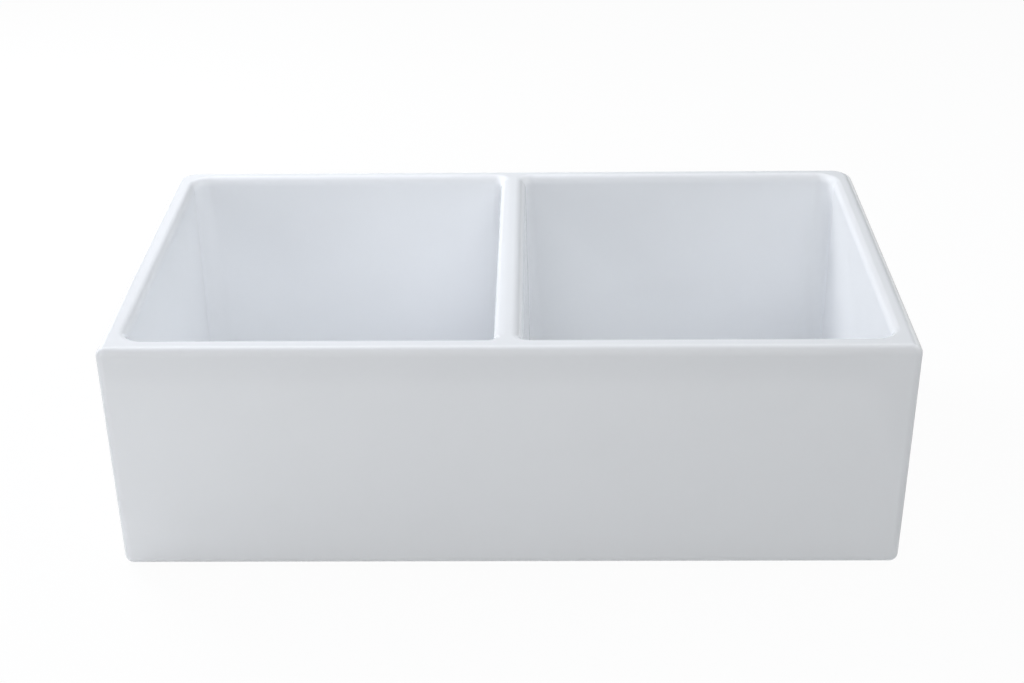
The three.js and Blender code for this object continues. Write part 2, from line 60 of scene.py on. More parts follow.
# The corners between apron and sides, and how far the rim's outer edge rolls in and down.
FRONT_CORNER_R = 9 * MM
BACK_CORNER_R = 25 * MM
BASE_EDGE_R = 10 * MM
APRON_EDGE = 9 * MM
SIDE_EDGE = 12 * MM
EDGE_DROP = 10 * MM

APRON_WALL = 27 * MM
SIDE_WALL = 25 * MM
BACK_WALL = 25 * MM
DIVIDER = 30 * MM
DIVIDER_FLAT = 4 * MM
# How far the rim rolls over into a bowl, and how far the roll reaches down.
BOWL_ROLL = 9 * MM
ROLL_DROP = 11 * MM
# How far a bowl narrows towards its floor, and its corners at the rim and at the floor.
BOWL_DRAFT = 4 * MM
BOWL_TOP_CORNER_R = 21 * MM
BOWL_FOOT_CORNER_R = 28 * MM
DIVIDER_TOP_CORNER_R = 10 * MM
DIVIDER_FOOT_CORNER_R = 18 * MM
FLOOR_FILLET = 16 * MM
FLOOR = 20 * MM
FLOOR_FALL = 3 * MM

BOWL_X = (WIDTH / 2 - SIDE_WALL + DIVIDER / 2) / 2
BOWL_Y = (APRON_WALL - BACK_WALL) / 2
DIVIDER_ROLL = (DIVIDER - DIVIDER_FLAT) / 2

OUTLET_R = 45 * MM
OUTLET_CHAMFER = 3 * MM
REBATE_R = 59 * MM
REBATE_DEPTH = 3 * MM
SUMP_MARGIN = 2 * MM

CORNER_STEPS = 20
EDGE_STEPS = 14
FLOOR_STEPS = 8
WALL_STEPS = 12
OUTLET_STEPS = 96
LEAST_R = 1 * MM
CUT_PAST = 1 * MM  # how far a cutter reaches past the face that it opens
SHARP_ANGLE = math.radians(35)
NORMAL_WEIGHT = 80

# ---------------------------------------------------------------- mesh helpers


def link(obj):
    bpy.context.scene.collection.objects.link(obj)
    return obj


def mesh_object(name, verts, faces):
    mesh = bpy.data.meshes.new(name)
    mesh.from_pydata([tuple(v) for v in verts], [], faces)
    mesh.validate()
    return link(bpy.data.objects.new(name, mesh))


def quarter_turn(steps):
    return [math.pi / 2 * i / steps for i in range(steps + 1)]


def ring(left, right, front, back, radii, z):
    """A rounded rectangle at height z, counterclockwise from its front right corner."""
    corners = [
        (right, front, 1, -1, -1),
        (right, back, 1, 1, 0),
        (left, back, -1, 1, 1),
        (left, front, -1, -1, 2),
    ]
    points = []
    for (x, y, along_x, along_y, quarter), r in zip(corners, radii):
        for i in range(CORNER_STEPS + 1):
            angle = (quarter + i / CORNER_STEPS) * math.pi / 2
            points.append(
                (x - along_x * r + r * math.cos(angle), y - along_y * r + r * math.sin(angle), z)
            )
    return points


def loft(name, rings):
    """A closed skin over rings listed from the bottom up."""
    count = len(rings[0])
    verts = [p for points in rings for p in points]
    faces = []
    for k in range(len(rings) - 1):
        for i in range(count):
            a, b = k * count + i, k * count + (i + 1) % count
            faces.append((a, b, b + count, a + count))
    faces.append(tuple(reversed(range(count))))
    faces.append(tuple(range((len(rings) - 1) * count, len(rings) * count)))
    return mesh_object(name, verts, faces)


def lathe(name, outline, steps=OUTLET_STEPS, x=0.0, y=0.0):
    """A solid of revolution. The outline is (radius, height) pairs going up its outside."""
    verts, rings, faces = [], [], []
    for radius, z in outline:
        if radius < TINY:
            rings.append([len(verts)])
            verts.append((x, y, z))
            continue
        rings.append(list(range(len(verts), len(verts) + steps)))
        for i in range(steps):
            angle = 2 * math.pi * i / steps
            verts.append((x + radius * math.cos(angle), y + radius * math.sin(angle), z))
    closed = outline[0][0] > TINY
    pairs = list(zip(rings, rings[1:])) + ([(rings[-1], rings[0])] if closed else [])
    for low, high in pairs:
        for i in range(steps):
            a, b = low[i % len(low)], low[(i + 1) % len(low)]
            c, d = high[(i + 1) % len(high)], high[i % len(high)]
            corners = []
            for v in (a, b, c, d):
                if v not in corners:
                    corners.append(v)
            if len(corners) > 2:
                faces.append(tuple(corners))
    return mesh_object(name, verts, faces)


def boolean(target, cutter, operation="DIFFERENCE"):
    """Applies one cut or join and removes the cutter."""
    step = target.modifiers.new("cut", "BOOLEAN")
    step.operation, step.solver, step.object = operation, "EXACT", cutter
    bpy.context.view_layer.update()
    evaluated = target.evaluated_get(bpy.context.evaluated_depsgraph_get())
    made = bpy.data.meshes.new_from_object(evaluated)
    target.modifiers.clear()
    old = target.data
    target.data = made
    made.name = target.name
    bpy.data.meshes.remove(old)
    bpy.data.objects.remove(cutter)


def smooth(obj):
    """Smooth shading with sharp edges kept crisp."""
    bm = bmesh.new()
    bm.from_mesh(obj.data)
    bmesh.ops.remove_doubles(bm, verts=bm.verts, dist=TINY)
    bm.normal_update()
    for face in bm.faces:
        face.smooth = True
    for edge in bm.edges:
        edge.smooth = len(edge.link_faces) == 2 and edge.calc_face_angle(0) < SHARP_ANGLE
    bm.to_mesh(obj.data)
    bm.free()
    weigh = obj.modifiers.new("even normals", "WEIGHTED_NORMAL")
    weigh.keep_sharp = True
    weigh.weight = NORMAL_WEIGHT


# ---------------------------------------------------------------- materials

MIX_SHARE, MIX_FIRST, MIX_SECOND, MIX_RESULT = 0, 6, 7, 2  # a colour mix's sockets by number


class Nodes:
    """A small helper that adds shader nodes and wires them by name."""

    def __init__(self, name):
        self.material = bpy.data.materials.new(name)
        self.material.use_nodes = True
        self.tree = self.material.node_tree
        self.tree.nodes.clear()
        self.out = self.tree.nodes.new("ShaderNodeOutputMaterial")
        self.shader = self.tree.nodes.new("ShaderNodeBsdfPrincipled")
        self.wire(self.shader, 0, self.out, "Surface")

    def add(self, kind, **settings):
        node = self.tree.nodes.new("ShaderNode" + kind)
        for key, value in settings.items():
            if hasattr(node, key):
                setattr(node, key, value)
            else:
                node.inputs[key.replace("_", " ")].default_value = value
        return node

    def wire(self, source, output, target, socket):
        self.tree.links.new(source.outputs[output], target.inputs[socket])

    def set(self, **sockets):
        for key, value in sockets.items():
            self.shader.inputs[key.replace("_", " ")].default_value = value

    def place(self, node, socket="Vector"):
        """Tells a node where on the object it is, in metres."""
        self.wire(self.add("TexCoord"), "Object", node, socket)

    def noise(self, scale, detail, roughness=0.5):
        node = self.add("TexNoise", Scale=scale, Detail=detail, Roughness=roughness)
        self.place(node)
        return node

    def span(self, source, output, start, end, low, high):
        """Turns a value between start and end into one between low and high."""
        node = self.add("MapRange")
        ends = {"From Min": start, "From Max": end, "To Min": low, "To Max": high}
        for socket, value in ends.items():
            node.inputs[socket].default_value = value
        self.wire(source, output, node, "Value")
        return node

    def mix(self, share, output, first, first_output):
        """A colour mix that still lacks its second colour."""
        node = self.add("Mix", data_type="RGBA")
        self.wire(share, output, node, MIX_SHARE)
        self.wire(first, first_output, node, MIX_FIRST)
        return node

    def ramp(self, source, output, stops):
        node = self.add("ValToRGB")
        band = node.color_ramp
        while len(band.elements) < len(stops):
            band.elements.new(0.5)
        for element, (place, color) in zip(band.elements, stops):
            element.position = place
            element.color = (*color, 1)
        self.wire(source, output, node, "Fac")
        return node

    def bump(self, source, output, distance, strength=1.0):
        node = self.add("Bump", Distance=distance, Strength=strength)
        self.wire(source, output, node, "Height")
        self.wire(node, "Normal", self.shader, "Normal")


GLAZE_TINTS = [(0.35, (0.895, 0.91, 0.93)), (0.7, (0.905, 0.92, 0.94))]
CLAY_TINTS = [(0.3, (0.50, 0.43, 0.34)), (0.7, (0.62, 0.55, 0.45))]
PINHOLE_TINT = (0.5, 0.46, 0.42, 1)
CLOUDS_PER_METRE, CLAY_GRAINS_PER_METRE = 9, 160
CELLS_PER_METRE = 22.0
CELLS_WITHOUT_PINHOLE = 0.7  # as a share of all
PINHOLE_EDGE = 0.007, 0.017  # from a cell's middle, in cells
PINHOLE_SHADE = 0.45
BARE_UP_TO = 0.0004, 0.0012  # metres above the base
GLAZE_ROUGH, CLAY_ROUGH = 0.07, 0.9
GLAZE_IOR = 1.5
RIPPLES_PER_METRE, RIPPLE_HEIGHT, RIPPLE_STRENGTH = 14, 0.0006, 0.2


def glaze():
    """Glossy white glaze with the faint ripple, cloudiness and pinholes of fired clay, and the
    bare clay that it leaves on the base."""
    n = Nodes("glazed_fireclay")
    n.set(IOR=GLAZE_IOR)
    tint = n.ramp(n.noise(CLOUDS_PER_METRE, 2), "Fac", GLAZE_TINTS)

    cells = n.add("TexVoronoi", Scale=CELLS_PER_METRE)
    n.place(cells)
    pinhole = n.span(cells, "Distance", *PINHOLE_EDGE, PINHOLE_SHADE, 0.0)
    draw = n.add("SeparateXYZ")
    n.wire(cells, "Color", draw, 0)
    chosen = n.add("Math", operation="GREATER_THAN")
    n.wire(draw, 0, chosen, 0)
    chosen.inputs[1].default_value = CELLS_WITHOUT_PINHOLE
    speck = n.add("Math", operation="MULTIPLY")
    n.wire(pinhole, "Result", speck, 0)
    n.wire(chosen, 0, speck, 1)
    spotted = n.mix(speck, 0, tint, "Color")
    spotted.inputs[MIX_SECOND].default_value = PINHOLE_TINT

    height = n.add("SeparateXYZ")
    n.place(height, 0)
    bare = n.span(height, 2, *BARE_UP_TO, 1.0, 0.0)
    skin = n.mix(bare, "Result", spotted, MIX_RESULT)
    clay = n.ramp(n.noise(CLAY_GRAINS_PER_METRE, 5, 0.7), "Fac", CLAY_TINTS)
    n.wire(clay, "Color", skin, MIX_SECOND)
    n.wire(skin, MIX_RESULT, n.shader, "Base Color")
    polish = n.span(bare, "Result", 0.0, 1.0, GLAZE_ROUGH, CLAY_ROUGH)
    n.wire(polish, "Result", n.shader, "Roughness")
    n.bump(n.noise(RIPPLES_PER_METRE, 1.5), "Fac", RIPPLE_HEIGHT, RIPPLE_STRENGTH)
    return n.material


# ---------------------------------------------------------------- the fireclay sink


def outer_ring(z, front_inset, side_inset):
    lean = max(1 - z / (HEIGHT - EDGE_DROP), 0)
    sideways = WIDTH / 2 - SIDE_LEAN * lean - side_inset
    front_r = max(FRONT_CORNER_R - max(front_inset, side_inset), LEAST_R)
    back_r = max(BACK_CORNER_R - side_inset, LEAST_R)
    back = DEPTH / 2 - BACK_LEAN * lean - side_inset
    radii = [front_r, back_r, back_r, front_r]
    return ring(-sideways, sideways, -DEPTH / 2 + front_inset, back, radii, z)


def sink_block():
    rings = []
    for turn in quarter_turn(EDGE_STEPS):
        inset = BASE_EDGE_R * (1 - math.sin(turn))
        rings.append(outer_ring(BASE_EDGE_R * (1 - math.cos(turn)), inset, inset))
    for turn in quarter_turn(EDGE_STEPS):
        inward = 1 - math.cos(turn)
        z = HEIGHT - EDGE_DROP * (1 - math.sin(turn))
        rings.append(outer_ring(z, APRON_EDGE * inward, SIDE_EDGE * inward))
    return loft("sink_glazed_body", rings)


def bowl_ring(side, z, inset, divider_inset, corner_r, divider_corner_r):
    """A bowl's outline. The side on the divider moves by its own amount and has its own corners."""
    outer = WIDTH / 2 - SIDE_WALL - inset
    inner = DIVIDER / 2 + divider_inset
    left, right = (-outer, -inner) if side < 0 else (inner, outer)
    front, back = -DEPTH / 2 + APRON_WALL + inset, DEPTH / 2 - BACK_WALL - inset
    left_r, right_r = (corner_r, divider_corner_r) if side < 0 else (divider_corner_r, corner_r)
    return ring(left, right, front, back, [right_r, right_r, left_r, left_r], z)


def rolled_ring(side, z, share):
    """A bowl's opening where the rim rolls back from it, by a share of the whole roll."""
    corners = [r + BOWL_ROLL * share for r in (BOWL_TOP_CORNER_R, DIVIDER_TOP_CORNER_R)]
    return bowl_ring(side, z, -BOWL_ROLL * share, -DIVIDER_ROLL * share, *corners)


def bowl_hollow(side):
    x, y, reach = side * BOWL_X, BOWL_Y, REBATE_R + SUMP_MARGIN
    sump_radii = [REBATE_R] * 4
    sump = np.array(
        ring(x - reach, x + reach, y - reach, y + reach, sump_radii, FLOOR - FLOOR_FALL)
    )
    foot_inset = BOWL_DRAFT + FLOOR_FILLET
    foot_corners = np.array([BOWL_FOOT_CORNER_R, DIVIDER_FOOT_CORNER_R])
    foot = np.array(
        bowl_ring(side, FLOOR, foot_inset, foot_inset, *(foot_corners - FLOOR_FILLET))
    )
    rings = []
    for turn in quarter_turn(FLOOR_STEPS)[:-1]:
        points = sump + (foot - sump) * turn / (math.pi / 2)
        points[:, 2] = FLOOR - FLOOR_FALL * (1 - math.sin(turn))
        rings.append([tuple(p) for p in points])
    for turn in quarter_turn(EDGE_STEPS):
        fillet_inset = FLOOR_FILLET * (1 - math.sin(turn))
        inset = BOWL_DRAFT + fillet_inset
        z = FLOOR + FLOOR_FILLET * (1 - math.cos(turn))
        rings.append(bowl_ring(side, z, inset, inset, *(foot_corners - fillet_inset)))
    wall_foot = np.array(rings[-1])
    wall_top = np.array(rolled_ring(side, HEIGHT - ROLL_DROP, 0))
    for i in range(1, WALL_STEPS):
        points = wall_foot + (wall_top - wall_foot) * i / WALL_STEPS
        rings.append([tuple(p) for p in points])
    for turn in quarter_turn(EDGE_STEPS):
        z = HEIGHT - ROLL_DROP * (1 - math.sin(turn))
        rings.append(rolled_ring(side, z, 1 - math.cos(turn)))
    rings.append(rolled_ring(side, HEIGHT + CUT_PAST, 1))
    return loft("bowl", rings)


def outlet_hollow(side):
    seat = FLOOR - FLOOR_FALL - REBATE_DEPTH
    outline = [
        (0, -CUT_PAST),
        (OUTLET_R + OUTLET_CHAMFER + CUT_PAST, -CUT_PAST),
        (OUTLET_R, OUTLET_CHAMFER),
        (OUTLET_R, seat),
        (REBATE_R, seat),
        (REBATE_R, FLOOR),
        (0, FLOOR),
    ]
    return lathe("outlet", outline, x=side * BOWL_X, y=BOWL_Y)


def make_sink():
    sink = sink_block()
    for side in (-1, 1):
        boolean(sink, bowl_hollow(side))
        boolean(sink, outlet_hollow(side))
    smooth(sink)
    sink.data.materials.clear()
    sink.data.materials.append(glaze())
    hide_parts("sink_body")
    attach(sink, "sink")


# ---------------------------------------------------------------- sizes of the wastes, in mm

CUP_R, CUP_WALL, CUP_KNUCKLE_R, CUP_FOOT_EDGE = 43, 1.6, 4, 1
CUP_BELOW_NUT = 5
KNUCKLE_PULL = 0.4  # how far above the cone's top the knuckle's curve is drawn to
CONE_HEIGHT, CONE_LEDGE = 8, 3
FLANGE_R, FLANGE_BOTTOM, FLANGE_THICKNESS, FLANGE_DISH, FLANGE_BEND_R = 57, 15.5, 1.4, 0.6, 2.5
FLANGE_EDGE, FLANGE_CROWN_R = 0.3, 4
NECK_R, NECK_WALL, NECK_LENGTH, NECK_EDGE = 23.8, 3.6, 24, 0.6
SPOKES, SPOKE_WIDTH, SPOKE_DEPTH, SPOKE_DROP = 4, 3, 4, 2
HUB_HOLE_R, HUB_R, HUB_STEPS = 4.7, 8.5, 48
HUB_EDGE, SPOKE_EDGE = 0.7, 0.6
THREAD_PITCH, THREAD_DEPTH, THREAD_ROWS = 2.2, 0.7, 8
# A groove's depth in its middle before it is cut off at 1, and what it loses in half a pitch.
GROOVE_MIDDLE, GROOVE_FLANK = 1.25, 2.2
# The plain lengths below and above each thread.
NECK_PLAIN, CUP_PLAIN = (0.8, 2.5), (2, 6)

BED_R, BED_HOLE_R, BED_THICKNESS = 54.2, 45.25, 1
GASKET_R, GASKET_TOP, GASKET_THICKNESS = 55, -0.25, 3
FRICTION_R, FRICTION_TOP, FRICTION_THICKNESS = 53, -3.5, 1
LOCK_NUT_TOP, LOCK_NUT_HEIGHT, LOCK_NUT_WALL, LOCK_NUT_COLLAR = -4.75, 12, 5, 2.5
LOCK_LUGS, LOCK_LUG_DEPTH, LOCK_LUG_FOOT, LOCK_LUG_CREST = 8, 4, 0.3, 0.22
LOCK_LUG_DROP, LOCK_LUG_STEPS = 1, 6
LOCK_LUG_EDGE, LOCK_COLLAR_EDGE = 0.7, 0.5
THREAD_BORE_R = 43.25

BASKET_RIM_R, BASKET_RIM_Z, BASKET_SHEET, BASKET_BEAD_R = 40.4, 13.9, 0.9, 1.2
BASKET_TAPER, BASKET_KNUCKLE_R, WALL_SPLAY = 8, 4, 10
HOLE_R, HOLE_ROWS, HOLE_PITCH, HOLE_STEPS = 2.2, 3, 12.5, 28
SIDE_SLOTS, SLOT_WIDTH, SLOT_MARGIN = 14, 2.8, 7
STEM_R, STEM_HOLE_R, NECKING = 3.2, 3.6, 0.6
POST_EDGE, POST_STEPS = 0.5, 64
SHOULDER_R, SHOULDER_HEIGHT = 6.5, 4
KNOB_R, KNOB_HEIGHT, KNOB_RISE, KNOB_EDGE = 9.5, 7, 3, 2.2
KNOB_GROOVE = (5.6, 0), (5.3, 0.25), (4.9, 0.25), (4.6, 0)  # radius and depth
TIP_R, TIP_STEP, TIP_REACH = 4.1, 0.9, 2
STOPPER_SEAT, STOPPER_HEIGHT, STOPPER_SKIRT, STOPPER_LAP, STOPPER_CROWN = 4.6, 9, 2.4, 7.5, 4
STOPPER_EDGE = 3
BACKING_LAP, BACKING_THICKNESS = 5.5, 1.2

TAIL_R, TAIL_WALL, TAIL_LENGTH, TAIL_FLANGE_R, TAIL_FLANGE_THICKNESS = 19, 1.2, 102, 23.55, 1.5
TAIL_EDGE, TAIL_WASHER_THICKNESS = 0.4, 2.5
COUPLING_WALL, COUPLING_GRIP, COUPLING_LIP, COUPLING_CHAMFER = 4.5, 13, 3, 2
FIT = 0.25
PAST = 1  # how far a cutter reaches past a face
# Countersunk mouths of bores: how much wider they get, how deep they begin, and how far past the
# face their cutter ends.
LOCK_NUT_MOUTH_BELOW, LOCK_NUT_MOUTH_ABOVE = (1.2, 0.8, PAST), (0.6, 0.6, 0.2)
COUPLING_MOUTH = 1, 0.8, 0.2
HOLE_MOUTH = 0.6, 0.25, 0.35

FLANGE_TOP = FLANGE_BOTTOM + FLANGE_THICKNESS
NECK_BORE_R = NECK_R - NECK_WALL
CUP_INNER_R = CUP_R - CUP_WALL
CONE_INNER_R = NECK_BORE_R + CONE_LEDGE
CONE_TOP = LOCK_NUT_TOP - LOCK_NUT_HEIGHT - CUP_BELOW_NUT
CONE_BOTTOM = CONE_TOP - CONE_HEIGHT
CONE_ANGLE = math.atan2(CONE_HEIGHT, CUP_INNER_R - CONE_INNER_R)
CONE_SLOPE = math.tan(CONE_ANGLE)
NECK_END = CONE_BOTTOM - NECK_LENGTH
HUB_TOP = CONE_BOTTOM - SPOKE_DROP
STOPPER_R = CONE_INNER_R + STOPPER_SEAT
STOPPER_LIP_Z = CONE_BOTTOM + STOPPER_SEAT * CONE_SLOPE + FIT / math.cos(CONE_ANGLE)
STOPPER_TOP = STOPPER_LIP_Z + STOPPER_HEIGHT
BACKING_TOP = STOPPER_TOP - STOPPER_CROWN - FIT
TIP_TOP = BACKING_TOP - BACKING_THICKNESS - FIT
BASKET_BOTTOM = STOPPER_TOP + FIT
BASKET_FLOOR_R = BASKET_RIM_R - BASKET_TAPER
SHOULDER_BOTTOM = BASKET_BOTTOM + BASKET_SHEET + FIT
TAIL_WASHER_TOP = NECK_END - FIT
TAIL_TOP = TAIL_WASHER_TOP - TAIL_WASHER_THICKNESS - FIT
COUPLING_LIP_TOP = TAIL_TOP - TAIL_FLANGE_THICKNESS - FIT

# Washers and rings: bore, radius, top, thickness, the rounding of their edges, and steps round.
WASHERS = {
    "flange_seal": (BED_HOLE_R, BED_R, FLANGE_BOTTOM - FIT, BED_THICKNESS, 0.45),
    "rubber_gasket": (THREAD_BORE_R, GASKET_R, GASKET_TOP, GASKET_THICKNESS, 0.8),
    "friction_ring": (THREAD_BORE_R, FRICTION_R, FRICTION_TOP, FRICTION_THICKNESS, 0.2),
    "stopper_washer": (
        STEM_HOLE_R,
        STEM_HOLE_R + BACKING_LAP,
        BACKING_TOP,
        BACKING_THICKNESS,
        0.35,
        POST_STEPS,
    ),
    "tailpiece_washer": (
        TAIL_R - TAIL_WALL,
        TAIL_FLANGE_R,
        TAIL_WASHER_TOP,
        TAIL_WASHER_THICKNESS,
        0.5,
    ),
}

# Metals: colour, least and greatest roughness, marks per metre, their depth in mm, and whether
# they run round the piece's axis.
METALS = {
    "strainer_steel": ((0.70, 0.71, 0.72), (0.16, 0.28), 900, 0.02, True),
    "basket_steel": ((0.72, 0.73, 0.74), (0.2, 0.34), 1400, 0.02, True),
    "washer_steel": ((0.66, 0.67, 0.68), (0.25, 0.4), 1200, 0.02, True),
    "post_chrome": ((0.80, 0.81, 0.82), (0.03, 0.09), 500, 0.002, True),
    "tube_chrome": ((0.78, 0.79, 0.80), (0.04, 0.12), 300, 0.004, True),
    "cast_zinc": ((0.50, 0.50, 0.49), (0.38, 0.55), 900, 0.06, False),
}
METAL_SMEARS_PER_METRE = 120

# Soft materials: dark and light colour, roughness, grains per metre, their depth in mm, and
# whether they are cells.
SOFT_MATERIALS = {
    "black_rubber": ((0.012, 0.012, 0.013), (0.028, 0.028, 0.03), 0.62, 900, 0.03, False),
    "flange_seal": ((0.60, 0.58, 0.53), (0.72, 0.70, 0.65), 0.85, 1200, 0.12, True),
    "friction_fibre": ((0.30, 0.17, 0.08), (0.46, 0.29, 0.16), 0.9, 700, 0.08, False),
    "nylon": ((0.72, 0.70, 0.65), (0.78, 0.76, 0.71), 0.42, 300, 0.01, False),
}

# ---------------------------------------------------------------- waste pieces, on their own axis


def arc(centre_r, centre_z, radius, start, end, steps):
    """Outline points of an arc between two angles in degrees."""
    angles = [math.radians(start + (end - start) * i / steps) for i in range(steps + 1)]
    return [(centre_r + radius * math.cos(a), centre_z + radius * math.sin(a)) for a in angles]


def curve(start, corner, end, steps):
    """Points of a curve that runs from start to end and is pulled towards the corner."""
    start, corner, end = Vector(start), Vector(corner), Vector(end)
    points = []
    for i in range(steps + 1):
        t = i / steps
        points.append(tuple(start * (1 - t) ** 2 + corner * (2 * t * (1 - t)) + end * t**2))
    return points


LEAST_TURN = math.radians(18)
SIDE_SHARE = 0.45  # of a side, the most that one rounded corner takes up


def rounded(outline, radius, steps=4):
    """An outline whose sharp corners are rounded off, as far as their sides allow."""
    points = []
    count = len(outline)
    on_axis = outline[0][0] == 0
    for k, corner in enumerate(outline):
        here = Vector(corner)
        back, on = Vector(outline[k - 1]) - here, Vector(outline[(k + 1) % count]) - here
        turn = math.pi - back.angle(on)
        if turn < LEAST_TURN or on_axis and k in (0, count - 1):
            points.append(corner)
            continue
        reach = min(radius * math.tan(turn / 2), SIDE_SHARE * back.length, SIDE_SHARE * on.length)
        start, end = here + back.normalized() * reach, here + on.normalized() * reach
        points += curve(start, here, end, steps)
    return points


def turned(name, outline, steps=OUTLET_STEPS):
    """A turned piece from an outline in millimetres."""
    return lathe(name, [(radius * MM, z * MM) for radius, z in outline], steps)


def washer(name, inner, outer, top, thickness, edge, steps=OUTLET_STEPS):
    bottom = top - thickness
    section = [(inner, bottom), (outer, bottom), (outer, top), (inner, top)]
    return turned(name, rounded(section, edge, 3), steps)


def prism(name, outline, bottom, height, bevel=0.0):
    """An upright prism from (x, y) points in millimetres, with its end edges broken."""
    count = len(outline)
    verts = [(x * MM, y * MM, z * MM) for z in (bottom, bottom + height) for x, y in outline]
    faces = [(i, (i + 1) % count, count + (i + 1) % count, count + i) for i in range(count)]
    faces += [tuple(reversed(range(count))), tuple(range(count, 2 * count))]
    obj = mesh_object(name, verts, faces)
    if bevel:
        bm = bmesh.new()
        bm.from_mesh(obj.data)
        ends = [e for e in bm.edges if abs(e.verts[0].co.z - e.verts[1].co.z) < TINY]
        bmesh.ops.bevel(
            bm, geom=ends, offset=bevel * MM, segments=3, profile=0.5, affect="EDGES"
        )
        bm.to_mesh(obj.data)
        bm.free()
    return obj


def merge(name, objects):
    """One mesh object from several that don't touch."""
    bm = bmesh.new()
    for obj in objects:
        obj.data.transform(obj.matrix_world)
        bm.from_mesh(obj.data)
        bpy.data.objects.remove(obj)
    mesh = bpy.data.meshes.new(name)
    bm.to_mesh(mesh)
    bm.free()
    return link(bpy.data.objects.new(name, mesh))


def thread_rows(radius, low, high):
    """Outline points close enough together to carry a thread."""
    count = round((high - low) / THREAD_PITCH * THREAD_ROWS)
    return [(radius, low + (high - low) * i / count) for i in range(count + 1)]


def cut_thread(obj, radius, low, high):
    """Sinks a helical groove into the rows of points that lie on a cylinder of this radius."""
    for vertex in obj.data.vertices:
        x, y, z = vertex.co
        from_axis = math.hypot(x, y)
        if abs(from_axis - radius * MM) > TINY or not low * MM <= z <= high * MM:
            continue
        from_end = min(z / MM - low, high - z / MM) / THREAD_PITCH
        turn = (z / MM / THREAD_PITCH - math.atan2(y, x) / (2 * math.pi)) % 1
        groove = min(max(GROOVE_MIDDLE - abs(2 * turn - 1) * GROOVE_FLANK, 0), 1)
        share = 1 - THREAD_DEPTH * groove * min(from_end, 1) * MM / from_axis
        vertex.co = (x * share, y * share, z)


def mouth(radius, face, upwards, wider, deep, past):
    """Outline points of a bore's countersunk mouth, from inside the piece to past its face."""
    end = face + past * upwards
    return [(radius, face - deep * upwards), (radius + wider, end), (0, end)]


def make_strainer_body():
    def slope_at(radius):
        return CONE_BOTTOM + (radius - CONE_INNER_R) * CONE_SLOPE

    def under_slope(radius):
        return slope_at(radius) - CUP_WALL / math.cos(CONE_ANGLE)

    neck_thread = (NECK_END + NECK_PLAIN[0], under_slope(NECK_R) - NECK_PLAIN[1])
    cup_thread = (under_slope(CUP_R) + CUP_PLAIN[0], FLANGE_BOTTOM - CUP_PLAIN[1])
    bevel = FLANGE_THICKNESS / 3
    crown_z = FLANGE_TOP - FLANGE_CROWN_R - bevel / 4
    dish_r, dish_z = CUP_INNER_R + FLANGE_BEND_R, FLANGE_TOP - FLANGE_DISH - FLANGE_BEND_R
    foot_r, knuckle_r = CUP_R - CUP_FOOT_EDGE, CUP_INNER_R - CUP_KNUCKLE_R
    knuckle_start = (CUP_INNER_R, CONE_TOP + CUP_KNUCKLE_R / 2)
    knuckle_corner = (CUP_INNER_R, CONE_TOP + KNUCKLE_PULL)
    outline = (
        [(NECK_BORE_R, NECK_END), (NECK_R - NECK_EDGE, NECK_END)]
        + thread_rows(NECK_R, *neck_thread)
        + [(NECK_R, under_slope(NECK_R)), (foot_r, under_slope(foot_r))]
        + thread_rows(CUP_R, *cup_thread)
        + [(CUP_R, FLANGE_BOTTOM), (FLANGE_R - FLANGE_EDGE, FLANGE_BOTTOM)]
        + [(FLANGE_R, FLANGE_BOTTOM + FLANGE_EDGE), (FLANGE_R, FLANGE_TOP - bevel)]
        + arc(FLANGE_R - FLANGE_CROWN_R, crown_z, FLANGE_CROWN_R, 62, 90, 3)
        + [(FLANGE_R - 2 * FLANGE_CROWN_R, FLANGE_TOP - FLANGE_DISH / 4)]
        + arc(dish_r, dish_z, FLANGE_BEND_R, 90, 180, 10)
        + curve(knuckle_start, knuckle_corner, (knuckle_r, slope_at(knuckle_r)), 4)
        + [(CONE_INNER_R, CONE_BOTTOM), (NECK_BORE_R + NECK_EDGE, CONE_BOTTOM)]
        + [(NECK_BORE_R, CONE_BOTTOM - NECK_EDGE)]
    )
    body = turned("strainer_body", outline)
    hub = washer("hub", HUB_HOLE_R, HUB_R, HUB_TOP, SPOKE_DEPTH, HUB_EDGE, HUB_STEPS)
    boolean(body, hub, "UNION")
    inner, outer, half = (HUB_HOLE_R + HUB_R) / 2, (NECK_BORE_R + NECK_R) / 2, SPOKE_WIDTH / 2
    for k in range(SPOKES):
        corners = [(inner, -half), (outer, -half), (outer, half), (inner, half)]
        spoke = prism("spoke", corners, HUB_TOP - SPOKE_DEPTH, SPOKE_DEPTH, SPOKE_EDGE)
        spoke.data.transform(Matrix.Rotation(2 * math.pi * k / SPOKES, 4, "Z"))
        boolean(body, spoke, "UNION")
    cut_thread(body, NECK_R, *neck_thread)
    cut_thread(body, CUP_R, *cup_thread)
    return body


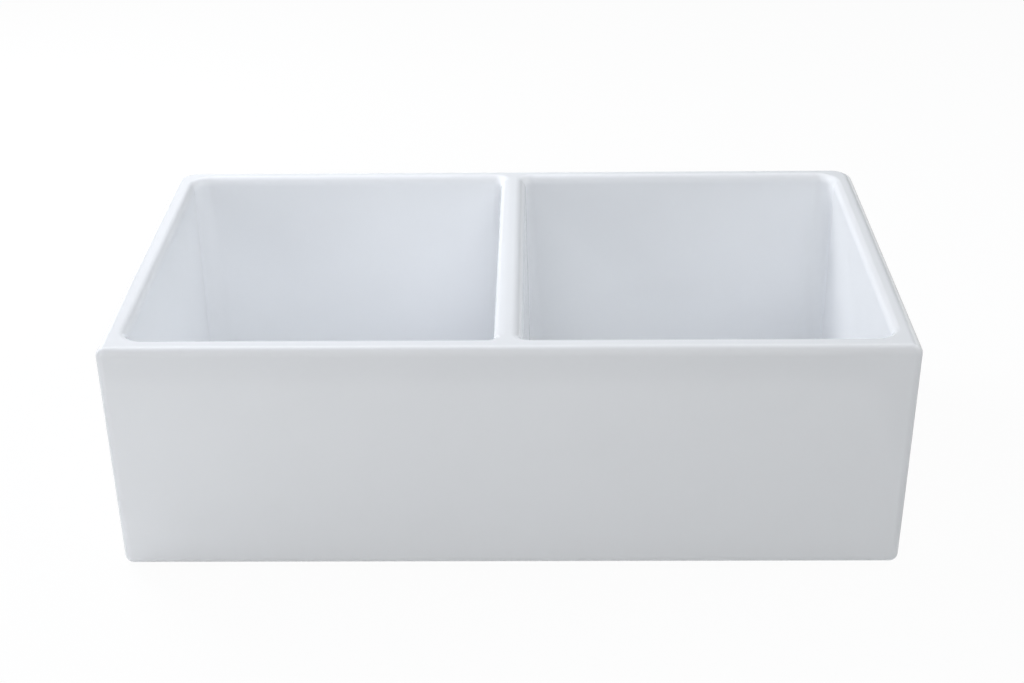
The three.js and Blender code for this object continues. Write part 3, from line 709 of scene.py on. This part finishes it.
def make_lock_nut():
    root = THREAD_BORE_R + LOCK_NUT_WALL
    crest = root + LOCK_LUG_DEPTH
    pitch = 2 * math.pi / LOCK_LUGS
    outline = []
    for k in range(LOCK_LUGS):
        for radius, start, end in (
            (crest, -LOCK_LUG_CREST, LOCK_LUG_CREST),
            (root, LOCK_LUG_FOOT, 1 - LOCK_LUG_FOOT),
        ):
            for i in range(LOCK_LUG_STEPS + 1):
                angle = (k + start + (end - start) * i / LOCK_LUG_STEPS) * pitch
                outline.append((radius * math.cos(angle), radius * math.sin(angle)))
    bottom, collar_bottom = LOCK_NUT_TOP - LOCK_NUT_HEIGHT, LOCK_NUT_TOP - LOCK_NUT_COLLAR
    nut = prism("lock_nut", outline, bottom, LOCK_NUT_HEIGHT - LOCK_LUG_DROP, LOCK_LUG_EDGE)
    collar = [(0, collar_bottom), (crest, collar_bottom), (crest, LOCK_NUT_TOP), (0, LOCK_NUT_TOP)]
    boolean(nut, turned("collar", rounded(collar, LOCK_COLLAR_EDGE)), "UNION")
    below = mouth(THREAD_BORE_R, bottom, -1, *LOCK_NUT_MOUTH_BELOW)
    above = mouth(THREAD_BORE_R, LOCK_NUT_TOP, 1, *LOCK_NUT_MOUTH_ABOVE)
    boolean(nut, turned("bore", below[::-1] + above))
    return nut


def make_basket():
    floor_top = BASKET_BOTTOM + BASKET_SHEET
    knuckle_z = floor_top + BASKET_KNUCKLE_R
    outer_bend = BASKET_KNUCKLE_R + BASKET_SHEET
    bead_r = BASKET_RIM_R - BASKET_BEAD_R
    basket = turned(
        "basket",
        [(STEM_HOLE_R, BASKET_BOTTOM)]
        + arc(BASKET_FLOOR_R, knuckle_z, outer_bend, -90, -WALL_SPLAY, 8)
        + arc(bead_r, BASKET_RIM_Z, BASKET_BEAD_R, -45, 180, 14)
        + arc(BASKET_FLOOR_R, knuckle_z, BASKET_KNUCKLE_R, -WALL_SPLAY, -90, 8)
        + [(STEM_HOLE_R, floor_top)],
    )
    drill_outline = [(0, BASKET_BOTTOM - PAST), (HOLE_R, BASKET_BOTTOM - PAST)]
    drill_outline += mouth(HOLE_R, floor_top, 1, *HOLE_MOUTH)
    cutters = []
    spacing = (BASKET_FLOOR_R - SHOULDER_R) / HOLE_ROWS
    for row in range(HOLE_ROWS):
        radius = (SHOULDER_R + spacing * (row + 0.5)) * MM
        count = int(2 * math.pi * radius / MM / HOLE_PITCH)
        for k in range(count):
            angle = 2 * math.pi * k / count
            drill = turned("drill", drill_outline, HOLE_STEPS)
            place = (radius * math.cos(angle), radius * math.sin(angle), 0)
            drill.data.transform(Matrix.Translation(place))
            cutters.append(drill)
    half = SLOT_WIDTH / 2
    low, high = knuckle_z + SLOT_MARGIN + half, BASKET_RIM_Z - SLOT_MARGIN - half
    slot_shape = arc(0, high, half, 0, 180, 10) + arc(0, low, half, 180, 360, 10)
    stand = Matrix(((0, 0, 1, SHOULDER_R * MM), (1, 0, 0, 0), (0, 1, 0, 0), (0, 0, 0, 1)))
    for k in range(SIDE_SLOTS):
        slot = prism("slot", slot_shape, 0, BASKET_RIM_R - SHOULDER_R)
        slot.data.transform(Matrix.Rotation(2 * math.pi * k / SIDE_SLOTS, 4, "Z") @ stand)
        cutters.append(slot)
    boolean(basket, merge("cutters", cutters))
    return basket


def make_basket_post():
    knob_top = FLANGE_TOP + KNOB_RISE
    knob_bottom = knob_top - KNOB_HEIGHT
    shoulder_top = SHOULDER_BOTTOM + SHOULDER_HEIGHT
    shaft_r = STEM_R + NECKING
    tip_end = HUB_TOP - SPOKE_DEPTH - TIP_REACH
    outline = [
        (0, tip_end),
        (STEM_R, tip_end),
        (TIP_R, tip_end + TIP_STEP),
        (TIP_R, TIP_TOP),
        (STEM_R, TIP_TOP),
        (STEM_R, SHOULDER_BOTTOM),
        (SHOULDER_R, SHOULDER_BOTTOM),
        (SHOULDER_R, shoulder_top - NECKING),
        (SHOULDER_R - NECKING, shoulder_top),
        (shaft_r, shoulder_top + NECKING),
        (shaft_r, knob_bottom - KNOB_EDGE),
        (KNOB_R - KNOB_EDGE, knob_bottom),
        (KNOB_R, knob_bottom + KNOB_EDGE),
    ]
    crown = arc(KNOB_R - KNOB_EDGE, knob_top - KNOB_EDGE, KNOB_EDGE, 0, 84, 8)
    groove = [(radius, knob_top - depth) for radius, depth in KNOB_GROOVE]
    outline += crown + groove + [(0, knob_top)]
    return turned("basket_post", rounded(outline, POST_EDGE, 3), POST_STEPS)


def make_stopper():
    crown_r = STEM_HOLE_R + STOPPER_LAP
    crown_bottom = STOPPER_TOP - STOPPER_CROWN
    lip_inner_r = STOPPER_R - STOPPER_SKIRT
    outline = [
        (STEM_HOLE_R, crown_bottom),
        (crown_r, crown_bottom),
        (lip_inner_r - STOPPER_SKIRT, STOPPER_LIP_Z + STOPPER_SKIRT),
        (lip_inner_r, STOPPER_LIP_Z - STOPPER_SKIRT * CONE_SLOPE),
        (STOPPER_R, STOPPER_LIP_Z),
        (STOPPER_R, STOPPER_LIP_Z + STOPPER_SKIRT),
        ((crown_r + STOPPER_R) / 2, STOPPER_TOP - STOPPER_HEIGHT / 4),
        (crown_r, STOPPER_TOP),
        (STEM_HOLE_R, STOPPER_TOP),
    ]
    return turned("stopper", rounded(outline, STOPPER_EDGE, 6))


def make_tailpiece():
    bore, end = TAIL_R - TAIL_WALL, TAIL_TOP - TAIL_LENGTH
    flange_bottom = TAIL_TOP - TAIL_FLANGE_THICKNESS
    outline = [
        (bore, end),
        (TAIL_R, end),
        (TAIL_R, flange_bottom),
        (TAIL_FLANGE_R, flange_bottom),
        (TAIL_FLANGE_R, TAIL_TOP),
        (bore + TAIL_WALL, TAIL_TOP),
        (bore, TAIL_TOP - TAIL_WALL),
    ]
    return turned("tailpiece", rounded(outline, TAIL_EDGE, 3))


def make_coupling_nut():
    top, bottom = NECK_END + COUPLING_GRIP, COUPLING_LIP_TOP - COUPLING_LIP
    bore_r = NECK_R + FIT
    flat = bore_r + COUPLING_WALL
    corner = flat / math.cos(math.pi / 6)
    hexagon = [
        (corner * math.cos(k * math.pi / 3), corner * math.sin(k * math.pi / 3)) for k in range(6)
    ]
    nut = prism("coupling_nut", hexagon, bottom, top - bottom)
    rounding = [
        (0, bottom),
        (flat, bottom),
        (corner + PAST, bottom + COUPLING_CHAMFER),
        (corner + PAST, top - COUPLING_CHAMFER),
        (flat, top),
        (0, top),
    ]
    boolean(nut, turned("rounding", rounding), "INTERSECT")
    bore = [
        (0, bottom - PAST),
        (TAIL_R + FIT, bottom - PAST),
        (TAIL_R + FIT, COUPLING_LIP_TOP),
        (bore_r, COUPLING_LIP_TOP),
    ]
    boolean(nut, turned("bore", bore + mouth(bore_r, top, 1, *COUPLING_MOUTH)))
    return nut


def metal(name, color, rough, marks, depth, round_axis):
    """Metal with fine tool marks round its own axis, or a cast grain, and a faint uneven shine."""
    n = Nodes(name)
    n.set(Base_Color=(*color, 1), Metallic=1.0)
    grain = n.add("TexNoise", Scale=marks, Detail=4.0, Roughness=0.6)
    if round_axis:
        apart = n.add("SeparateXYZ")
        n.place(apart, 0)
        flat, rings = n.add("CombineXYZ"), n.add("CombineXYZ")
        n.wire(apart, 0, flat, 0)
        n.wire(apart, 1, flat, 1)
        from_axis = n.add("VectorMath", operation="LENGTH")
        n.wire(flat, 0, from_axis, 0)
        n.wire(from_axis, "Value", rings, 0)
        n.wire(apart, 2, rings, 1)
        n.wire(rings, 0, grain, "Vector")
    else:
        n.place(grain)
    n.bump(grain, "Fac", depth * MM)
    shine = n.span(n.noise(METAL_SMEARS_PER_METRE, 3, 0.6), "Fac", 0.3, 0.7, *rough)
    n.wire(shine, "Result", n.shader, "Roughness")
    return n.material


def soft_material(name, dark, light, rough, scale, depth, cells):
    """Rubber, foam, fibre or plastic: a mottled colour and a fine grain."""
    n = Nodes(name)
    n.set(Roughness=rough)
    tint = n.ramp(n.noise(scale / 4, 4, 0.6), "Fac", [(0.3, dark), (0.7, light)])
    n.wire(tint, "Color", n.shader, "Base Color")
    if cells:
        grain = n.add("TexVoronoi", Scale=scale)
        n.place(grain)
        n.bump(grain, "Distance", depth * MM)
    else:
        n.bump(n.noise(scale, 3, 0.6), "Fac", depth * MM)
    return n.material


def waste_pieces():
    """Node name, piece and slot of everything in one waste."""

    def ring_piece(node, slot):
        return node, washer(node, *WASHERS[node]), slot

    return [
        ("strainer_body", make_strainer_body(), "strainer_steel"),
        ring_piece("flange_seal", "flange_seal"),
        ring_piece("rubber_gasket", "black_rubber"),
        ring_piece("friction_ring", "friction_fibre"),
        ("lock_nut", make_lock_nut(), "cast_zinc"),
        ("basket", make_basket(), "basket_steel"),
        ("basket_post", make_basket_post(), "post_chrome"),
        ("stopper", make_stopper(), "black_rubber"),
        ring_piece("stopper_washer", "washer_steel"),
        ring_piece("tailpiece_washer", "nylon"),
        ("tailpiece", make_tailpiece(), "tube_chrome"),
        ("coupling_nut", make_coupling_nut(), "tube_chrome"),
    ]


LIFTING = ("basket", "basket_post", "stopper", "stopper_washer")


def make_wastes():
    """Makes each piece once and places it under both bowls."""
    materials = {slot: metal(slot, *looks) for slot, looks in METALS.items()}
    for slot, looks in SOFT_MATERIALS.items():
        materials[slot] = soft_material(slot, *looks)
    for node, model, slot in waste_pieces():
        smooth(model)
        model.data.materials.clear()
        model.data.materials.append(materials[slot])
        for side_name, side in (("left", -1), ("right", 1)):
            piece = model if side > 0 else link(model.copy())
            if side < 0:
                piece.data = model.data.copy()
            piece.name = f"{side_name}_{node}_finished"
            piece.location = (side * BOWL_X, BOWL_Y, 0)
            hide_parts(f"{side_name}_{node}")
            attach(piece, f"{side_name}_basket" if node in LIFTING else "sink")


# ---------------------------------------------------------------- camera

FRAME_WIDTH = 1024  # pixels
FOCAL_PIXELS = 1853.0
SENSOR = 36.0  # millimetres
CAMERA_PLACE = Vector((0.0356, -1.9270, 1.0801))
CAMERA_DOWN = math.radians(25.970)
CAMERA_YAW = math.radians(-1.059)
CAMERA_ROLL = math.radians(-0.696)


def make_camera():
    data = bpy.data.cameras.new("camera")
    data.sensor_width = SENSOR
    data.sensor_fit = "HORIZONTAL"
    data.lens = FOCAL_PIXELS * SENSOR / FRAME_WIDTH
    data.clip_start, data.clip_end = 0.05, 50
    camera = link(bpy.data.objects.new("camera", data))
    ahead = Vector(
        (
            math.sin(CAMERA_YAW) * math.cos(CAMERA_DOWN),
            math.cos(CAMERA_YAW) * math.cos(CAMERA_DOWN),
            -math.sin(CAMERA_DOWN),
        )
    )
    level = Vector((math.cos(CAMERA_YAW), -math.sin(CAMERA_YAW), 0))
    upright = level.cross(ahead)
    right = level * math.cos(CAMERA_ROLL) + upright * math.sin(CAMERA_ROLL)
    up = upright * math.cos(CAMERA_ROLL) - level * math.sin(CAMERA_ROLL)
    turn = Matrix((right, up, -ahead)).transposed()
    camera.matrix_world = Matrix.Translation(CAMERA_PLACE) @ turn.to_4x4()
    bpy.context.scene.camera = camera


# ---------------------------------------------------------------- stage and light

FLOOR_REACH, FLOOR_MARGIN = 6.0, 0.06
FLOOR_TINT, FLOOR_ROUGH, FLOOR_GLOW = (0.86, 0.865, 0.87, 1), 0.9, 0.95
WHITE = (1, 1, 1, 1)
AIM = Vector((0, 0, 0.15))


def seen_directly(tree):
    """An output that is 1 for rays from the camera, off a glossy skin or through glass, else 0."""
    rays = tree.nodes.new("ShaderNodeLightPath")
    seen = rays.outputs["Is Camera Ray"]
    for kind in ("Is Glossy Ray", "Is Transmission Ray"):
        either = tree.nodes.new("ShaderNodeMath")
        either.operation = "MAXIMUM"
        tree.links.new(seen, either.inputs[0])
        tree.links.new(rays.outputs[kind], either.inputs[1])
        seen = either.outputs[0]
    return seen


def make_floor():
    """A pale floor with an opening under the sink, which the wastes hang through."""
    corners = []
    for x, front, back in (
        (FLOOR_REACH, -FLOOR_REACH, FLOOR_REACH),
        (WIDTH / 2 - FLOOR_MARGIN, -DEPTH / 2 + FLOOR_MARGIN, DEPTH / 2 - FLOOR_MARGIN),
    ):
        corners += [(-x, front, 0), (x, front, 0), (x, back, 0), (-x, back, 0)]
    faces = [(i, (i + 1) % 4, 4 + (i + 1) % 4, 4 + i) for i in range(4)]
    floor = mesh_object("floor", corners, faces)
    n = Nodes("floor_white")
    n.set(Base_Color=FLOOR_TINT, Roughness=FLOOR_ROUGH)
    share = n.add("Math", operation="MULTIPLY")
    n.tree.links.new(seen_directly(n.tree), share.inputs[0])
    share.inputs[1].default_value = FLOOR_GLOW
    mix = n.add("MixShader")
    n.wire(share, 0, mix, 0)
    n.wire(n.shader, 0, mix, 1)
    n.wire(n.add("Emission", Color=WHITE, Strength=1.0), 0, mix, 2)
    n.wire(mix, 0, n.out, "Surface")
    floor.data.materials.append(n.material)


def make_world():
    """White where it is seen directly, and no light of its own on the sink."""
    world = bpy.data.worlds.new("studio")
    bpy.context.scene.world = world
    world.use_nodes = True
    tree = world.node_tree
    tree.nodes.clear()
    out = tree.nodes.new("ShaderNodeOutputWorld")
    mix = tree.nodes.new("ShaderNodeMixShader")
    tree.links.new(seen_directly(tree), mix.inputs[0])
    for socket, strength in ((1, 0.0), (2, 1.0)):
        sky = tree.nodes.new("ShaderNodeBackground")
        sky.inputs["Color"].default_value = WHITE
        sky.inputs["Strength"].default_value = strength
        tree.links.new(sky.outputs[0], mix.inputs[socket])
    tree.links.new(mix.outputs[0], out.inputs["Surface"])


def turn_to(obj, place, aim, face):
    """Puts an object in its place with one face towards a point."""
    obj.location = place
    obj.rotation_mode = "QUATERNION"
    obj.rotation_quaternion = (Vector(aim) - Vector(place)).to_track_quat(face, "Y")


def softbox(name, place, aim, width, height, power, color):
    light = bpy.data.lights.new(name, "AREA")
    light.shape = "RECTANGLE"
    light.size, light.size_y = width, height
    light.energy = power
    light.color = color
    lamp = link(bpy.data.objects.new(name, light))
    turn_to(lamp, place, aim, "-Z")
    lamp.visible_camera = False
    return lamp


def dome_lamp(name, azimuth, elevation, distance, size, power, color, shows=True):
    """A square softbox on a dome round the sink, at degrees from +X and above the floor. One that
    doesn't show lights the sink without a reflection in its glaze."""
    turn, rise = math.radians(azimuth), math.radians(elevation)
    level = Vector((math.cos(turn), math.sin(turn), 0)) * math.cos(rise)
    place = AIM + (level + Vector((0, 0, math.sin(rise)))) * distance
    lamp = softbox(name, place, AIM, size, size, power, color)
    lamp.visible_glossy = shows


def make_lights():
    dome_lamp("front", 270, 36, 2.3, 1.5, 14.5, (1.0, 1.0, 1.0), False)
    dome_lamp("low_front_left", 225, 14, 2.4, 1.08, 8.6, (0.964, 0.984, 1.0))
    dome_lamp("left", 180, 36, 2.3, 1.15, 3.9, (0.909, 0.911, 1.0))
    dome_lamp("high_left", 163, 50, 2.2, 1.1, 8.1, (0.868, 0.903, 1.0))
    dome_lamp("back_left", 135, 36, 2.3, 1.15, 37.7, (0.986, 0.996, 1.0), False)
    dome_lamp("back_right", 45, 36, 2.3, 1.15, 4.7, (0.918, 0.975, 1.0), False)
    dome_lamp("right", 0, 40, 2.3, 2.07, 20.3, (0.965, 0.985, 1.0))
    softbox("top_left", (-0.2, 0, 0.85), (0.3, 0, 0.15), 0.35, 0.7, 0.68, (0.853, 0.897, 1.0))


def mirror_card(name, place, aim, width, height, shade):
    """A grey card that shows in reflections only, as a studio's own walls and table edge do."""
    x, y = width / 2, height / 2
    corners = [(-x, -y, 0), (x, -y, 0), (x, y, 0), (-x, y, 0)]
    card = mesh_object(name, corners, [(0, 1, 2, 3)])
    turn_to(card, place, aim, "Z")
    for ray in ("camera", "diffuse", "shadow", "transmission", "volume_scatter"):
        setattr(card, "visible_" + ray, False)
    n = Nodes(name)
    n.wire(n.add("Emission", Color=WHITE, Strength=shade), 0, n.out, "Surface")
    card.data.materials.append(n.material)


def make_cards():
    mirror_card("card_front", (0, -3.68, 0.002), (0, -3.68, 1), 8, 6, 0.32)
    mirror_card("card_floor_right", (1.75, 1.2, 0.002), (1.75, 1.2, 1), 2.6, 5, 0.63)
    mirror_card("card_back_left", (-0.85, 2.5, 1.3), (-0.85, 0, 1.3), 1.7, 1.6, 0.0)
    mirror_card("card_back_right", (0.85, 2.5, 1.3), (0.85, 0, 1.3), 1.7, 1.6, 0.0)


bpy.context.scene.view_settings.view_transform = "Standard"
make_camera()
make_world()
make_floor()
make_lights()
make_cards()
make_sink()
make_wastes()
